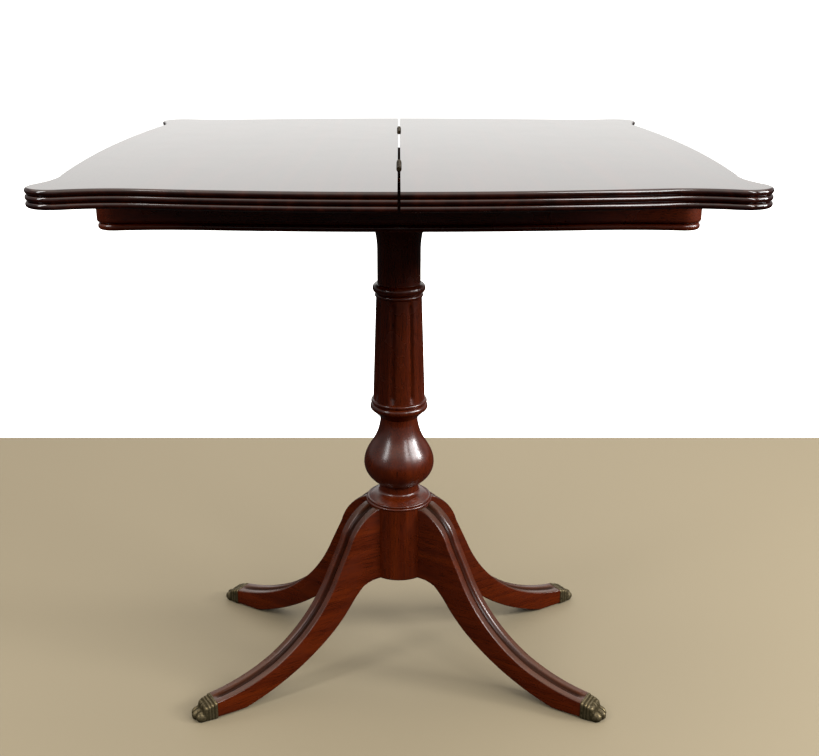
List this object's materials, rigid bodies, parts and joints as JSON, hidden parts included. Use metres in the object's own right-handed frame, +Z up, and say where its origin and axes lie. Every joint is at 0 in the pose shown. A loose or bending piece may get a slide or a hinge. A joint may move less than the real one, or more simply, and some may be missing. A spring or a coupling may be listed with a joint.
{
  "type": "flip-top table",
  "caption": "Pedestal flip-top table: a serpentine reeded top in two leaves swivels and folds over on a shallow apron, a turned reeded column and sabre legs with brass toes.",
  "frame": {"origin": "on the floor, under the column's axis, with the top open", "axes": "+Z up, +X to the right across the seam and along the apron's length, +Y away from the viewer along the seam"},
  "size_m": [0.737, 0.759, 0.7434],
  "materials": {
    "mahogany_top": "French polished, high gloss",
    "mahogany_apron": "French polished, gloss",
    "mahogany_base": "French polished, gloss",
    "beech": "planed, unpolished",
    "antique_brass": "cast, dull with age",
    "brass": "satin",
    "black_steel": "black lacquer",
    "steel": "zinc plated",
    "felt": "green baize"
  },
  "bodies": {
    "pedestal": {"column": "mahogany_base", "leg_hub": "mahogany_base", "leg_front_left": "mahogany_base", "leg_front_right": "mahogany_base", "leg_rear_left": "mahogany_base", "leg_rear_right": "mahogany_base", "toe_cap_front_left": "antique_brass", "toe_cap_front_right": "antique_brass", "toe_cap_rear_left": "antique_brass", "toe_cap_rear_right": "antique_brass", "toe_cap_pins": "antique_brass", "leg_dowels": "beech", "hub_plate": "black_steel", "hub_plate_screws": "steel", "apron_front": "mahogany_apron", "apron_back": "mahogany_apron", "apron_left": "mahogany_apron", "apron_right": "mahogany_apron", "apron_bead_front": "mahogany_apron", "apron_bead_back": "mahogany_apron", "apron_bead_left": "mahogany_apron", "apron_bead_right": "mahogany_apron", "corner_blocks": "beech", "pivot_bearer": "beech", "plain_bearer": "beech", "pedestal_block": "beech", "block_screws": "steel", "swivel_glides": "felt", "pivot_bush": "brass", "thrust_washer": "steel", "swivel_stop_block": "beech"},
    "swivel_top": {"fixed_leaf": "mahogany_top", "pivot_plate": "black_steel", "pivot_plate_screws": "steel", "pivot_bolt": "steel", "lower_washer": "steel", "spring_washer": "steel", "lock_nut": "steel", "swivel_stop_peg": "beech", "hinge_front_fixed_plate": "brass", "hinge_front_pin": "brass", "hinge_rear_fixed_plate": "brass", "hinge_rear_pin": "brass", "hinge_screws_fixed": "brass"},
    "folding_top": {"flip_leaf": "mahogany_top", "hinge_front_flip_plate": "brass", "hinge_rear_flip_plate": "brass", "hinge_screws_flip": "brass"}
  },
  "joints": [
    {"name": "top_swivel", "type": "hinge", "parent": "pedestal", "child": "swivel_top", "pos_m": [0.0925, 0.0925, 0.7205], "axis": [0, 0, 1], "range_deg": [-90, 0]},
    {"name": "leaf_fold", "type": "hinge", "parent": "swivel_top", "child": "folding_top", "pos_m": [0, 0, 0.7408], "axis": [0, 1, 0], "range_deg": [0, 180]}
  ]
}
